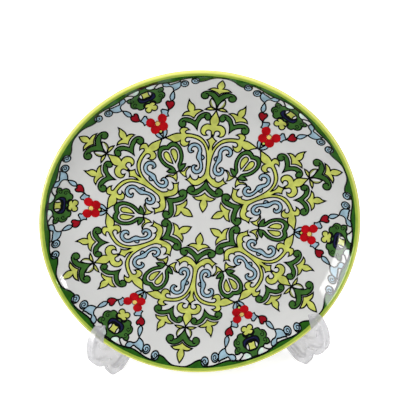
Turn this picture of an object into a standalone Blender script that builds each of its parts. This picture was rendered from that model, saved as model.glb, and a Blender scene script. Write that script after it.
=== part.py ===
"""A painted ceramic plate held upright by a folding stand of clear plastic.

The stand is two flat frames joined along an upright line by two loose-pin hinges.  The frames open
into a V, the plate's rim sits in a pocket behind each frame's front hook, and its back leans on the
top of each frame's upright.  The frames only fold together once the plate has been lifted out.
Lengths are in millimetres until they meet Blender, which works in metres.
"""

import math

import bmesh
import bpy
from mathutils import Matrix, Vector

MM = 0.001
COLLECTION_NAME = "painted_plate_on_stand"
CUTTER_COLLECTION_NAME = "cutters"

# Plate: a flat well, a rim that sweeps up from it, a round lip and a foot ring underneath.
# Heights on the plate are measured from the well, along the plate's axis.
WELL_RADIUS = 97.5
RIM_END_RADIUS = 126.6
RIM_RISE = 17.3
BASE_THICKNESS = 5.5
LIP_RADIUS = 2.0
FOOT_RING_OUTER = 72.0
FOOT_RING_INNER = 64.0
FOOT_RING_DEPTH = 2.5
FOOT_RING_CHAMFER = 0.8
PLATE_SEGMENTS = 96
RIM_STEPS = 8
LIP_STEPS = 8

# How the plate stands: leaning back, its lowest edge a little above the table.
LEAN = math.radians(18.0)
PLATE_HEIGHT = 128.7
PLATE_BACK = 10.2

# Stand: frames spread each side of the middle, hinged behind the plate.
HALF_SPREAD = math.radians(50.0)
HINGE_BACK = 35.2
HINGE_ASIDE = 1.5
FRAME_WIDTH = 6.4
WEB_THICKNESS = 2.2
FOLDED_GAP = 1.0
RUNNING_GAP = 0.3

# One frame seen from the side: distance in front of the hinge line, height, corner radius.
FRAME_CORNERS = [
    (106.0, 53.0, 2.0),
    (109.0, 58.5, 3.0),
    (118.5, 57.0, 12.0),
    (126.5, 44.0, 25.0),
    (126.5, 26.0, 16.0),
    (118.5, 17.0, 12.0),
    (111.5, 15.5, 3.0),
    (108.5, 0.0, 6.0),
    (96.0, 0.0, 5.0),
    (82.0, 12.0, 14.0),
    (52.0, 19.0, 14.0),
    (28.0, 15.0, 8.0),
    (21.0, 0.0, 2.5),
    (6.0, 0.0, 2.0),
    (6.0, 139.0, 4.0),
    (24.0, 141.0, 6.0),
    (31.5, 133.0, 4.0),
    (31.5, 118.0, 4.0),
    (27.0, 100.0, 14.0),
    (36.0, 64.0, 16.0),
    (60.0, 43.0, 14.0),
    (88.0, 35.5, 8.0),
    (108.5, 36.5, 3.0),
]

# The hollow moulded into both sides of a frame, which leaves the thin web.
HOLLOW_CORNERS = [
    (117.0, 45.5, 1.5),
    (120.5, 45.5, 2.5),
    (122.5, 38.0, 6.0),
    (122.5, 27.5, 12.0),
    (117.0, 21.0, 8.0),
    (106.5, 19.0, 3.0),
    (104.0, 5.0, 2.0),
    (98.0, 5.0, 3.0),
    (83.0, 16.5, 14.0),
    (52.0, 23.5, 14.0),
    (24.0, 19.0, 8.0),
    (17.5, 4.0, 1.5),
    (10.0, 4.0, 1.5),
    (10.0, 134.5, 2.0),
    (22.5, 136.5, 3.0),
    (27.0, 131.0, 2.0),
    (27.0, 119.5, 3.0),
    (23.0, 100.0, 14.0),
    (32.5, 62.0, 16.0),
    (58.5, 39.5, 14.0),
    (87.0, 31.5, 8.0),
    (110.0, 31.5, 4.0),
    (117.0, 36.0, 3.0),
]
ARC_STEP = math.radians(10.0)

# Hinges: three knuckles each, the outer two on the left frame and the middle one on the right.
HINGE_BOTTOMS = {"lower": 24.0, "upper": 98.0}
KNUCKLE_HEIGHT = 7.0
KNUCKLE_RADIUS = 3.6
BORE_RADIUS = 1.8
PIN_RADIUS = 1.5
PIN_HEAD_RADIUS = 2.8
PIN_HEAD_HEIGHT = 1.2
LEAF_REACH = 8.0
ROUND_SEGMENTS = 32

# Lifting the plate out: steeper than the plate leans, so that it leaves the uprights as it rises.
LIFT_LEAN = math.radians(10.5)
LIFT_CLEARED = 60.0


def clear_scene():
    for obj in list(bpy.data.objects):
        bpy.data.objects.remove(obj, do_unlink=True)


def new_collection(name):
    collection = bpy.data.collections.new(name)
    bpy.context.scene.collection.children.link(collection)
    return collection


def make_material(name, colour, roughness):
    material = bpy.data.materials.new(name)
    material.use_nodes = True
    shader = material.node_tree.nodes["Principled BSDF"]
    shader.inputs["Base Color"].default_value = (*colour, 1.0)
    shader.inputs["Roughness"].default_value = roughness
    return material, shader


def add_object(name, mesh, collection):
    obj = bpy.data.objects.new(name, mesh)
    collection.objects.link(obj)
    return obj


def mesh_from(builder, name):
    mesh = bpy.data.meshes.new(name)
    builder.to_mesh(mesh)
    builder.free()
    return mesh


def front_height(radius):
    """Height of the painted face: flat in the well, then rising ever more steeply over the rim."""
    across_rim = max(0.0, (radius - WELL_RADIUS) / (RIM_END_RADIUS - WELL_RADIUS))
    return RIM_RISE * across_rim ** 2


def front_slope(radius):
    """Angle by which the painted face climbs outward at a radius."""
    across_rim = max(0.0, radius - WELL_RADIUS)
    return math.atan(2.0 * RIM_RISE * across_rim / (RIM_END_RADIUS - WELL_RADIUS) ** 2)


def rim_radii():
    width = RIM_END_RADIUS - WELL_RADIUS
    return [WELL_RADIUS + width * index / RIM_STEPS for index in range(RIM_STEPS + 1)]


def wall_thickness(radius):
    """Full thickness in the well, thinning over the rim to the lip's own."""
    across_rim = max(0.0, (radius - WELL_RADIUS) / (RIM_END_RADIUS - WELL_RADIUS))
    return BASE_THICKNESS + (2.0 * LIP_RADIUS - BASE_THICKNESS) * across_rim


def back_point(radius, extra=0.0):
    """Point of the underside straight behind the painted face at a radius."""
    thickness = wall_thickness(radius) + extra
    slope = front_slope(radius)
    return (radius + thickness * math.sin(slope), front_height(radius) - thickness * math.cos(slope))


def rim_back_profile(extra=0.0):
    return [back_point(radius, extra) for radius in rim_radii()]


def lip_profile(extra=0.0):
    """Half circle over the lip, from the painted face round to the underside."""
    slope = front_slope(RIM_END_RADIUS)
    centre = Vector(back_point(RIM_END_RADIUS, -LIP_RADIUS))
    points = []
    for index in range(LIP_STEPS + 1):
        angle = math.pi / 2.0 + slope - math.pi * index / LIP_STEPS
        points.append(tuple(centre + (LIP_RADIUS + extra) * Vector((math.cos(angle), math.sin(angle)))))
    return points


def foot_ring_profile():
    base = -BASE_THICKNESS
    bottom = base - FOOT_RING_DEPTH
    chamfer = FOOT_RING_CHAMFER
    return [
        (FOOT_RING_OUTER + chamfer, base),
        (FOOT_RING_OUTER, base - chamfer),
        (FOOT_RING_OUTER - chamfer, bottom),
        (FOOT_RING_INNER + chamfer, bottom),
        (FOOT_RING_INNER, base - chamfer),
        (FOOT_RING_INNER - chamfer, base),
    ]


def plate_profile():
    """From the middle of the painted face over the lip and back to the middle of the base."""
    front = [(0.0, 0.0)] + [(radius, front_height(radius)) for radius in rim_radii()[:-1]]
    rim_back = list(reversed(rim_back_profile()))[1:]
    return front + lip_profile() + rim_back + foot_ring_profile() + [(0.0, -BASE_THICKNESS)]


def turned(name, profile, segments, collection):
    """A round solid: the profile of radius and height pairs turned about the upright axis."""
    builder = bmesh.new()
    verts = [builder.verts.new((radius * MM, 0.0, height * MM)) for radius, height in profile]
    for first, second in zip(verts, verts[1:]):
        builder.edges.new((first, second))
    obj = add_object(name, mesh_from(builder, name), collection)
    screw = obj.modifiers.new("turn", "SCREW")
    screw.axis = "Z"
    screw.steps = segments
    screw.render_steps = segments
    screw.use_merge_vertices = True
    screw.merge_threshold = 0.00001
    screw.use_smooth_shade = True
    return obj


def place_on_plate(obj):
    """Stand an object made round the plate's axis up, facing forward and leaning back."""
    obj.location = (0.0, PLATE_BACK * MM, PLATE_HEIGHT * MM)
    obj.rotation_euler = (math.pi / 2.0 - LEAN, 0.0, 0.0)


def make_plate(collection):
    plate = turned("plate", plate_profile(), PLATE_SEGMENTS, collection)
    place_on_plate(plate)
    return plate


def make_plate_sweep(collection):
    """The room the plate takes at rest and on its way up, used to cut the frames' pockets."""
    outline = [(0.0, -BASE_THICKNESS - RUNNING_GAP)] + rim_back_profile(RUNNING_GAP)
    outline += lip_profile(RUNNING_GAP)
    stand_up = Matrix.Rotation(math.pi / 2.0 - LEAN, 3, "X")
    rest = Vector((0.0, PLATE_BACK, PLATE_HEIGHT))
    lift = Vector((0.0, math.sin(LIFT_LEAN), math.cos(LIFT_LEAN))) * LIFT_CLEARED
    builder = bmesh.new()
    for radius, height in outline:
        for index in range(PLATE_SEGMENTS):
            turn = 2.0 * math.pi * index / PLATE_SEGMENTS
            point = stand_up @ Vector((radius * math.cos(turn), radius * math.sin(turn), height)) + rest
            builder.verts.new(point * MM)
            builder.verts.new((point + lift) * MM)
    hull = bmesh.ops.convex_hull(builder, input=builder.verts)
    spare = [item for item in hull["geom_interior"] if isinstance(item, bmesh.types.BMVert)]
    bmesh.ops.delete(builder, geom=spare, context="VERTS")
    return add_object("cut_plate_sweep", mesh_from(builder, "cut_plate_sweep"), collection)


def rounded_outline(corners):
    """Closed outline through the corners, each rounded by an arc of its own radius."""
    outline = []
    count = len(corners)
    for index, (across, height, radius) in enumerate(corners):
        corner = Vector((across, height))
        before = (Vector(corners[index - 1][:2]) - corner).normalized()
        after = (Vector(corners[(index + 1) % count][:2]) - corner).normalized()
        half = before.angle(after) / 2.0
        centre = corner + (before + after).normalized() * radius / math.sin(half)
        start = corner + before * radius / math.tan(half) - centre
        turn = math.pi - 2.0 * half
        if before.cross(after) > 0.0:
            turn = -turn
        steps = max(1, round(abs(turn) / ARC_STEP))
        for step in range(steps + 1):
            outline.append(centre + Matrix.Rotation(turn * step / steps, 2) @ start)
    return outline


def frame_point(side, across, offset, height):
    """A point of a frame: distance in front of the hinge, offset inward, height."""
    return Vector((-side * offset, -across, height)) * MM


def slab(name, side, outline, low, high, collection):
    """Solid between two offsets from the hinge line, with the given side outline."""
    builder = bmesh.new()
    verts = [builder.verts.new(frame_point(side, across, low, height)) for across, height in outline]
    base = builder.faces.new(verts)
    extruded = bmesh.ops.extrude_face_region(builder, geom=[base])
    moved = [item for item in extruded["geom"] if isinstance(item, bmesh.types.BMVert)]
    shift = frame_point(side, 0.0, high - low, 0.0)
    bmesh.ops.translate(builder, verts=moved, vec=shift)
    bmesh.ops.recalc_face_normals(builder, faces=builder.faces)
    return add_object(name, mesh_from(builder, name), collection)


def upright_cylinder(name, radius, bottom, top, collection):
    builder = bmesh.new()
    place = Matrix.Translation(Vector((0.0, 0.0, (bottom + top) / 2.0 * MM)))
    bmesh.ops.create_cone(builder, cap_ends=True, segments=ROUND_SEGMENTS, radius1=radius * MM,
                          radius2=radius * MM, depth=(top - bottom) * MM, matrix=place)
    return add_object(name, mesh_from(builder, name), collection)


def place_on_hinge(obj, side):
    """Put an object made round the hinge line at its place, turned outward to one side.

    The stand stands a little to the right of the plate's middle.
    """
    obj.location = (HINGE_ASIDE * MM, HINGE_BACK * MM, 0.0)
    obj.rotation_euler = (0.0, 0.0, side * HALF_SPREAD)


def combine(obj, operation, cutter):
    modifier = obj.modifiers.new(cutter.name, "BOOLEAN")
    modifier.operation = operation
    modifier.solver = "EXACT"
    modifier.object = cutter


def knuckle_spans(side, hinge_bottom):
    """Bottom and top of each knuckle that this side's frame has at one hinge."""
    pitch = KNUCKLE_HEIGHT + RUNNING_GAP
    places = [0, 2] if side < 0 else [1]
    return [(hinge_bottom + pitch * place, hinge_bottom + pitch * place + KNUCKLE_HEIGHT)
            for place in places]


def add_hinge(frame, side, label, hinge_bottom, cutters):
    inner = -FOLDED_GAP / 2.0
    outer = inner - FRAME_WIDTH
    for index, (bottom, top) in enumerate(knuckle_spans(side, hinge_bottom)):
        tag = f"{frame.name}_{label}_{index}"
        leaf_outline = [(0.0, bottom), (LEAF_REACH, bottom), (LEAF_REACH, top), (0.0, top)]
        leaf = slab(f"add_leaf_{tag}", side, leaf_outline, (inner + outer) / 2.0, inner, cutters)
        knuckle = upright_cylinder(f"add_knuckle_{tag}", KNUCKLE_RADIUS, bottom, top, cutters)
        bore = upright_cylinder(f"cut_bore_{tag}", BORE_RADIUS, bottom - 1.0, top + 1.0, cutters)
        for piece, operation in ((leaf, "UNION"), (knuckle, "UNION"), (bore, "DIFFERENCE")):
            place_on_hinge(piece, side)
            combine(frame, operation, piece)


def make_frame(name, side, sweep, collection, cutters):
    inner = -FOLDED_GAP / 2.0
    outer = inner - FRAME_WIDTH
    middle = (inner + outer) / 2.0
    frame = slab(name, side, rounded_outline(FRAME_CORNERS), outer, inner, collection)
    place_on_hinge(frame, side)
    hollow_outline = rounded_outline(HOLLOW_CORNERS)
    hollows = {
        "inner": (middle + WEB_THICKNESS / 2.0, inner + 1.0),
        "outer": (outer - 1.0, middle - WEB_THICKNESS / 2.0),
    }
    for label, (low, high) in hollows.items():
        hollow = slab(f"cut_{label}_hollow_{name}", side, hollow_outline, low, high, cutters)
        place_on_hinge(hollow, side)
        combine(frame, "DIFFERENCE", hollow)
    combine(frame, "DIFFERENCE", sweep)
    for label, hinge_bottom in HINGE_BOTTOMS.items():
        add_hinge(frame, side, label, hinge_bottom, cutters)
    return frame


def make_pin(label, hinge_bottom, collection):
    """A hinge pin with a flat head at each end, just clear of the outer knuckles."""
    knuckles_top = hinge_bottom + 3.0 * KNUCKLE_HEIGHT + 2.0 * RUNNING_GAP
    shank_bottom = hinge_bottom - RUNNING_GAP
    shank_top = knuckles_top + RUNNING_GAP
    bottom = shank_bottom - PIN_HEAD_HEIGHT
    top = shank_top + PIN_HEAD_HEIGHT
    profile = [
        (0.0, top),
        (PIN_HEAD_RADIUS, top),
        (PIN_HEAD_RADIUS, shank_top),
        (PIN_RADIUS, shank_top),
        (PIN_RADIUS, shank_bottom),
        (PIN_HEAD_RADIUS, shank_bottom),
        (PIN_HEAD_RADIUS, bottom),
        (0.0, bottom),
    ]
    pin = turned(f"hinge_pin_{label}", profile, ROUND_SEGMENTS, collection)
    place_on_hinge(pin, 0.0)
    return pin


def give_materials(plate, frames, pins):
    glaze, _ = make_material("glazed_ceramic", (0.80, 0.80, 0.78), 0.12)
    plate.data.materials.append(glaze)
    clear, shader = make_material("clear_plastic", (0.90, 0.92, 0.93), 0.08)
    shader.inputs["Alpha"].default_value = 0.4
    for frame in frames:
        frame.data.materials.append(clear)
    steel, shader = make_material("pin_steel", (0.62, 0.63, 0.65), 0.30)
    shader.inputs["Metallic"].default_value = 1.0
    for pin in pins:
        pin.data.materials.append(steel)


def main():
    clear_scene()
    collection = new_collection(COLLECTION_NAME)
    cutters = new_collection(CUTTER_COLLECTION_NAME)
    plate = make_plate(collection)
    sweep = make_plate_sweep(cutters)
    frames = [
        make_frame("stand_frame_left", -1, sweep, collection, cutters),
        make_frame("stand_frame_right", 1, sweep, collection, cutters),
    ]
    pins = [make_pin(label, bottom, collection) for label, bottom in HINGE_BOTTOMS.items()]
    give_materials(plate, frames, pins)
    for cutter in cutters.objects:
        cutter.hide_render = True
        cutter.display_type = "WIRE"


main()
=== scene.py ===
"""Looks of the painted plate and its clear folding stand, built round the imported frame.

The plate's ornament is painted on as thin closed layers of colour that follow the glazed face.
Ornament places are in hundredths of the plate's radius: x to the right of the main axis, y outward
along it.  Each motif is drawn once and repeated round the plate by its six-fold mirror symmetry.
"""

import math

import bmesh
import bpy
from mathutils import Matrix, Vector
from mathutils.geometry import delaunay_2d_cdt


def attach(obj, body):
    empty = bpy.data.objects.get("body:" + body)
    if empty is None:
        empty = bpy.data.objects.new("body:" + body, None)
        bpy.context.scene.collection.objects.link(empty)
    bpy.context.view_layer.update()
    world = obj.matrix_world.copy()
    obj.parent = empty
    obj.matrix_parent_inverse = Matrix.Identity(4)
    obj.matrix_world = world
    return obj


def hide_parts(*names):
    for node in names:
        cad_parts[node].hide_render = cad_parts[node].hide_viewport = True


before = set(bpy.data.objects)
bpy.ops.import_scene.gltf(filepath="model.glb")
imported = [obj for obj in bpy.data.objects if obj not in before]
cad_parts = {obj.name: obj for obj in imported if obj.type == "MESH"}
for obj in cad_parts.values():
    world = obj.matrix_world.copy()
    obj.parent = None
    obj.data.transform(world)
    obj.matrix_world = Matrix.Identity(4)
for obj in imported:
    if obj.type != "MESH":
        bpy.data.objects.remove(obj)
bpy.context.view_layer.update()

MM = 0.001
TINY = 1e-6

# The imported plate, in millimetres, and how it stands.
PLATE_RADIUS = 130.0
WELL_RADIUS = 97.5
RIM_END_RADIUS = 126.6
RIM_RISE = 17.3
BASE_THICKNESS = 5.5
LIP_RADIUS = 2.0
FOOT_RING_OUTER = 72.0
FOOT_RING_INNER = 64.0
FOOT_RING_DEPTH = 2.5
FOOT_EDGE_RADIUS = 0.8
FLAT_BACK_RADIUS = 80.0
FLAT_BASE_RADIUS = FOOT_RING_INNER - 4.0
LEAN = math.radians(18.0)
TILT = math.pi / 2.0 - LEAN
PLATE_PLACE = Vector((0.0, 10.2, 128.7)) * MM
PLATE_TURN = Matrix.Translation(PLATE_PLACE) @ Matrix.Rotation(TILT, 4, "X")

# How finely the turned surfaces are divided.
ROUND_STEPS = 360
RING_STEPS = 180
WELL_STEPS = 8
FACE_STEPS = 44
BACK_STEPS = 30
LIP_STEPS = 20
CORNER_STEPS = 5
BASE_STEPS = 5

# The coloured lip: where it starts on the face, how far it wraps onto the back, where a pale painted
# highlight lies over its crown.
LIP_BAND_FROM = 0.972 * PLATE_RADIUS
LIP_BAND_STEPS = 6
LIP_WRAP = (0.8, 1.6)
LIP_HIGHLIGHT_FROM = PLATE_RADIUS - 2.4
LIP_HIGHLIGHT_TO = PLATE_RADIUS - 0.8

# The unglazed foot: its distance from the ring's edges, and its layer's reach into and out of the ring.
BARE_INSET = 1.0
BARE_INTO_RING = 0.1
BARE_OUT_OF_RING = 0.05

# The ornament: its unit and symmetry, and how it was laid on a little off the middle and twisted.
UNIT = PLATE_RADIUS / 100.0
SECTORS = 6
HALF_SECTOR = math.pi / SECTORS
ORNAMENT_TURN = 8.45
ORNAMENT_TWIST = 2.9
SHIFT_RIGHT = 0.0105
SHIFT_RIGHT_LOSS = 0.0095
SHIFT_DOWN = 0.0215
SHIFT_DOWN_LOSS = 0.016

# Inner edge of the dark rim band: degrees from a main axis, and distance from the middle.
BAND_EDGE = [(0.0, 96.4), (2.5, 96.2), (4.5, 95.0), (6.5, 93.3), (8.4, 92.7), (9.6, 94.6), (10.6, 95.8),
             (13.0, 95.8), (16.0, 94.9), (19.0, 94.3), (22.0, 94.9), (25.0, 95.8), (27.5, 95.9), (30.0, 95.6)]
BAND_STEPS = 600
BAND_STEPS_ACROSS = 5
BAND_OUTER_RADIUS = RIM_END_RADIUS - 0.1

# Heights of the paint layers above the glaze, in millimetres.
UNDERSIDE = -0.03
LEVELS = {
    "mint": 0.04,
    "green": 0.07,
    "yellow": 0.11,
    "white": 0.09,
    "olive": 0.13,
    "blue": 0.11,
    "crimson": 0.11,
    "navy": 0.13,
    "line": 0.16,
    "red": 0.19,
    "cream": 0.22,
}
LIP_LEVEL = 0.19

# Triangulation option: triangles inside an outline.
TRIANGLES_INSIDE = 2

# Drawing: lengths in ornament units, corner and spiral limits as shares.
LINE_HALF_WIDTH = 0.42
THIN_HALF_WIDTH = 0.32
FINE_HALF_WIDTH = 0.22
TENDRIL_HALF_WIDTH = 0.4
THINNEST_HALF_WIDTH = 0.05
SAMPLE_STEP = 0.6
SHORTEST_STEP = 0.12
MERGE_DISTANCE = 1e-5
NARROWEST_MITRE = 0.45
DOUBLED_BACK = 0.05
SPIRAL_SHRINK = 0.8
SPIRAL_STEPS_A_TURN = 20
CURVED_FROM = 72.0
FINE_GRID = 1.0
GRID_OFFSET = (0.013, 0.017)
GRID_MARGIN = 0.45 * FINE_GRID

# Linear colours.
WHITE = (1.0, 1.0, 1.0)
COLOURS = {
    "mint": (0.60, 0.74, 0.66),
    "green": (0.042, 0.128, 0.024),
    "yellow": (0.52, 0.555, 0.120),
    "white": (0.65, 0.65, 0.64),
    "olive": (0.30, 0.34, 0.09),
    "cream": (0.75, 0.53, 0.15),
    "blue": (0.30, 0.44, 0.53),
    "red": (0.42, 0.004, 0.008),
    "crimson": (0.28, 0.005, 0.012),
    "navy": (0.010, 0.011, 0.050),
    "line": (0.003, 0.004, 0.004),
    "rim": (0.018, 0.098, 0.008),
    "lip": (0.31, 0.43, 0.055),
    # Pale yellow painted highlight over the lip's crown.
    "lip_highlight": (0.74, 0.74, 0.20),
    "speck": (0.45, 0.44, 0.42),
    "clay_dark": (0.50, 0.42, 0.32),
    "clay_light": (0.74, 0.68, 0.58),
    "plastic_dark": (0.48, 0.47, 0.50),
    "plastic_light": (0.55, 0.54, 0.57),
    # Painted highlight where the plastic's faces turn edge-on to the view.
    "plastic_edge_highlight": (0.86, 0.86, 0.89),
    "steel_dark": (0.42, 0.43, 0.45),
    "steel_light": (0.66, 0.67, 0.69),
    "floor_dark": (0.90, 0.90, 0.90),
    "floor_light": (0.92, 0.92, 0.92),
}

# How much a paint thickens and thins, as a share of its colour.
UNEVEN_PAINT = 0.22
UNEVEN_LINE = 0.12
UNEVEN_RIM = 0.30
UNEVEN_LIP = 0.16
UNEVEN_WHITE = 0.035

# Glaze, and the soft ripple in it.
GLAZE_ROUGHNESS = 0.06
GLAZE_IOR = 1.5
RIPPLE_SCALE = 90.0
RIPPLE_HEIGHT = 0.00004
RIPPLE_STRENGTH = 0.35
SPECK_STRENGTH = 0.6

# Milky plastic.
PLASTIC_ALPHA = 0.46
PLASTIC_COAT_ROUGHNESS = 0.08
# Reach of the painted highlight on the plastic's edge-on faces.
PLASTIC_HIGHLIGHT_BLEND = 0.35

# Studio.
FLOOR_HALF_SIDE = 0.9
FLOOR_GLOW = 0.6
BACKDROP = 1.02
SOFT_LIGHT = 0.28
ROOM_REFLECTION = 0.04

# Camera: its distance from the plate's middle, how high and how rolled it looks, and its lens.
CAMERA_DISTANCE = 1.29979
CAMERA_ELEVATION = math.radians(37.95)
CAMERA_ROLL = math.radians(3.1)
CAMERA_LENS = 142.472
CAMERA_SENSOR = 36.0
CAMERA_SHIFT = (0.000935, 0.0492)
CAMERA_NEAREST = 0.05


# ---- the plate's shape

def share_across_rim(radius):
    """0 in the well, growing to 1 where the lip begins."""
    return max(0.0, (radius - WELL_RADIUS) / (RIM_END_RADIUS - WELL_RADIUS))


def front_height(radius):
    """Height of the painted face: flat in the well, then rising ever more steeply over the rim."""
    return RIM_RISE * share_across_rim(radius) ** 2


def front_slope(radius):
    """Angle of the painted face above the flat."""
    return math.atan(2.0 * RIM_RISE * share_across_rim(radius) / (RIM_END_RADIUS - WELL_RADIUS))


def wall_thickness(radius):
    """The wall thins evenly over the rim, to the lip's own thickness."""
    return BASE_THICKNESS + (2.0 * LIP_RADIUS - BASE_THICKNESS) * share_across_rim(radius)


def back_point(radius):
    """Point of the underside, straight through the wall from a radius on the face."""
    slope = front_slope(radius)
    thickness = wall_thickness(radius)
    return (radius + thickness * math.sin(slope), front_height(radius) - thickness * math.cos(slope))


def spread(first, last, steps):
    """Evenly spaced values from first to last."""
    return [first + (last - first) * index / steps for index in range(steps + 1)]


def lip_arc():
    """Points on the half circle over the lip, from the face round to the underside."""
    slope = front_slope(RIM_END_RADIUS)
    centre_radius = RIM_END_RADIUS + LIP_RADIUS * math.sin(slope)
    centre_height = front_height(RIM_END_RADIUS) - LIP_RADIUS * math.cos(slope)
    points = []
    for share in spread(0.0, 1.0, LIP_STEPS):
        angle = math.pi / 2.0 + slope - math.pi * share
        points.append((centre_radius + LIP_RADIUS * math.cos(angle),
                       centre_height + LIP_RADIUS * math.sin(angle)))
    return points


def corner_arc(x, y, start, end):
    """Rounded corner of the foot ring in the profile plane, angles in degrees."""
    return [(x + FOOT_EDGE_RADIUS * math.cos(math.radians(angle)),
             y + FOOT_EDGE_RADIUS * math.sin(math.radians(angle)))
            for angle in spread(start, end, CORNER_STEPS)]


def foot_ring_profile():
    """The ring from its outer corner with the base, round its foot, to its inner corner."""
    base = -BASE_THICKNESS
    bottom = base - FOOT_RING_DEPTH
    soft = FOOT_EDGE_RADIUS
    return (corner_arc(FOOT_RING_OUTER + soft, base - soft, 90.0, 180.0)
            + corner_arc(FOOT_RING_OUTER - soft, bottom + soft, 0.0, -90.0)
            + corner_arc(FOOT_RING_INNER + soft, bottom + soft, -90.0, -180.0)
            + corner_arc(FOOT_RING_INNER - soft, base - soft, 0.0, 90.0))


def surface_point(x, y, level):
    """A point raised over the painted face, in the plate's own axes (millimetres), and its normal."""
    radius = math.hypot(x, y)
    slope = front_slope(radius)
    out = Vector((x, y, 0.0)) / radius if radius > TINY else Vector((0.0, 0.0, 0.0))
    normal = Vector((0.0, 0.0, math.cos(slope))) - out * math.sin(slope)
    return Vector((x, y, front_height(radius))) + normal * level, normal


def add_object(name, data):
    """A new object in the scene."""
    obj = bpy.data.objects.new(name, data)
    bpy.context.scene.collection.objects.link(obj)
    return obj


def built_object(name, builder, material):
    """Object with the mesh that a builder holds."""
    mesh = bpy.data.meshes.new(name)
    builder.to_mesh(mesh)
    builder.free()
    mesh.materials.append(material)
    return add_object(name, mesh)


def finish_piece(name, builder, material, normals=None):
    """Turn a builder in the plate's own axes into a piece that rides on the plate."""
    piece = built_object(name, builder, material)
    mesh = piece.data
    mesh.transform(PLATE_TURN)
    mesh.shade_smooth()
    if normals:
        turn = PLATE_TURN.to_3x3()
        mesh.normals_split_custom_set_from_vertices([turn @ normal for normal in normals])
    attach(piece, "plate")
    return piece


def turned_builder(profile, segments, closed=False):
    """Round solid from a profile; a profile that ends on the axis closes there with a fan."""
    builder = bmesh.new()
    rings = []
    for radius, height in profile:
        if radius < TINY:
            rings.append([builder.verts.new((0.0, 0.0, height * MM))])
            continue
        rings.append([builder.verts.new((radius * math.cos(2.0 * math.pi * index / segments) * MM,
                                         radius * math.sin(2.0 * math.pi * index / segments) * MM,
                                         height * MM)) for index in range(segments)])
    pairs = list(zip(rings, rings[1:]))
    if closed:
        pairs.append((rings[-1], rings[0]))
    for upper, lower in pairs:
        for index in range(segments):
            after = (index + 1) % segments
            if len(upper) == 1:
                builder.faces.new((upper[0], lower[index], lower[after]))
            elif len(lower) == 1:
                builder.faces.new((upper[index], lower[0], upper[after]))
            else:
                builder.faces.new((upper[index], lower[index], lower[after], upper[after]))
    bmesh.ops.recalc_face_normals(builder, faces=builder.faces)
    return builder


def make_plate_body(material):
    """The whole fired plate, turned from its profile: face, lip, back, foot ring and base."""
    front = [(radius, 0.0) for radius in spread(0.0, WELL_RADIUS, WELL_STEPS)[:-1]]
    front += [(radius, front_height(radius))
              for radius in spread(WELL_RADIUS, RIM_END_RADIUS, FACE_STEPS)[:-1]]
    back = [back_point(radius) for radius in reversed(spread(WELL_RADIUS, RIM_END_RADIUS, BACK_STEPS))][1:]
    back.append((FLAT_BACK_RADIUS, -BASE_THICKNESS))
    base = [(radius, -BASE_THICKNESS) for radius in spread(FLAT_BASE_RADIUS, 0.0, BASE_STEPS)]
    profile = front + lip_arc() + back + foot_ring_profile() + base
    plate = finish_piece("plate_body", turned_builder(profile, ROUND_STEPS), material)
    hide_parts("plate")


def layer_profile(points, low, high):
    """Closed profile of a thin layer over a run of profile points, from one height to another."""
    tops = []
    bottoms = []
    for index, point in enumerate(points):
        before = Vector(points[max(0, index - 1)])
        after = Vector(points[min(len(points) - 1, index + 1)])
        along = (after - before).normalized()
        normal = Vector((-along.y, along.x))
        tops.append(tuple(Vector(point) + normal * high))
        bottoms.append(tuple(Vector(point) + normal * low))
    return tops + list(reversed(bottoms))


def make_lip_band(material):
    """The bright band painted over the lip, from the face round to the underside."""
    face = [(radius, front_height(radius))
            for radius in spread(LIP_BAND_FROM, RIM_END_RADIUS, LIP_BAND_STEPS)[:-1]]
    back = [back_point(RIM_END_RADIUS - wrap) for wrap in LIP_WRAP]
    profile = layer_profile(face + lip_arc() + back, UNDERSIDE, LIP_LEVEL)
    finish_piece("lip_band", turned_builder(profile, ROUND_STEPS, closed=True), material)


def make_bare_foot(material):
    """The unglazed biscuit on the underside of the foot ring."""
    bottom = -BASE_THICKNESS - FOOT_RING_DEPTH
    inner = FOOT_RING_INNER + BARE_INSET
    outer = FOOT_RING_OUTER - BARE_INSET
    upper = bottom + BARE_INTO_RING
    lower = bottom - BARE_OUT_OF_RING
    profile = [(outer, upper), (outer, lower), (inner, lower), (inner, upper)]
    finish_piece("foot_ring_bare", turned_builder(profile, RING_STEPS, closed=True), material)


# ---- drawing

def hermite(start, end, start_slope, end_slope, share):
    """Point on a smooth curve between two points that has given slopes at its ends."""
    squared = share ** 2
    cubed = share ** 3
    return (start * (2 * cubed - 3 * squared + 1) + start_slope * (cubed - 2 * squared + share)
            + end * (3 * squared - 2 * cubed) + end_slope * (cubed - squared))


def smooth_run(points):
    """A smooth curve through the points, sampled evenly enough to look round."""
    points = [Vector(point) for point in points]
    gaps = [max(TINY, (after - before).length) for before, after in zip(points, points[1:])]
    slopes = [None] * len(points)
    for index in range(1, len(points) - 1):
        back, ahead = gaps[index - 1], gaps[index]
        slopes[index] = ((points[index] - points[index - 1]) * (ahead / back)
                         + (points[index + 1] - points[index]) * (back / ahead)) / (back + ahead)
    first = (points[1] - points[0]) / gaps[0]
    last = (points[-1] - points[-2]) / gaps[-1]
    slopes[0] = first if len(points) == 2 else first * 1.5 - slopes[1] * 0.5
    slopes[-1] = last if len(points) == 2 else last * 1.5 - slopes[-2] * 0.5
    curve = []
    for index, gap in enumerate(gaps):
        steps = max(1, math.ceil(gap / SAMPLE_STEP))
        for step in range(steps):
            curve.append(hermite(points[index], points[index + 1], slopes[index] * gap,
                                 slopes[index + 1] * gap, step / steps))
    curve.append(points[-1])
    return curve


def trace(*runs):
    """Smooth runs that meet at corners; each run starts where the one before it ended."""
    curve = smooth_run(runs[0])
    for run in runs[1:]:
        curve += smooth_run([curve[-1]] + list(run))[1:]
    return curve


def turn_point(point, angle):
    """Turn clockwise about the plate's middle."""
    return Vector((point.x * math.cos(angle) + point.y * math.sin(angle),
                   point.y * math.cos(angle) - point.x * math.sin(angle)))


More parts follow.
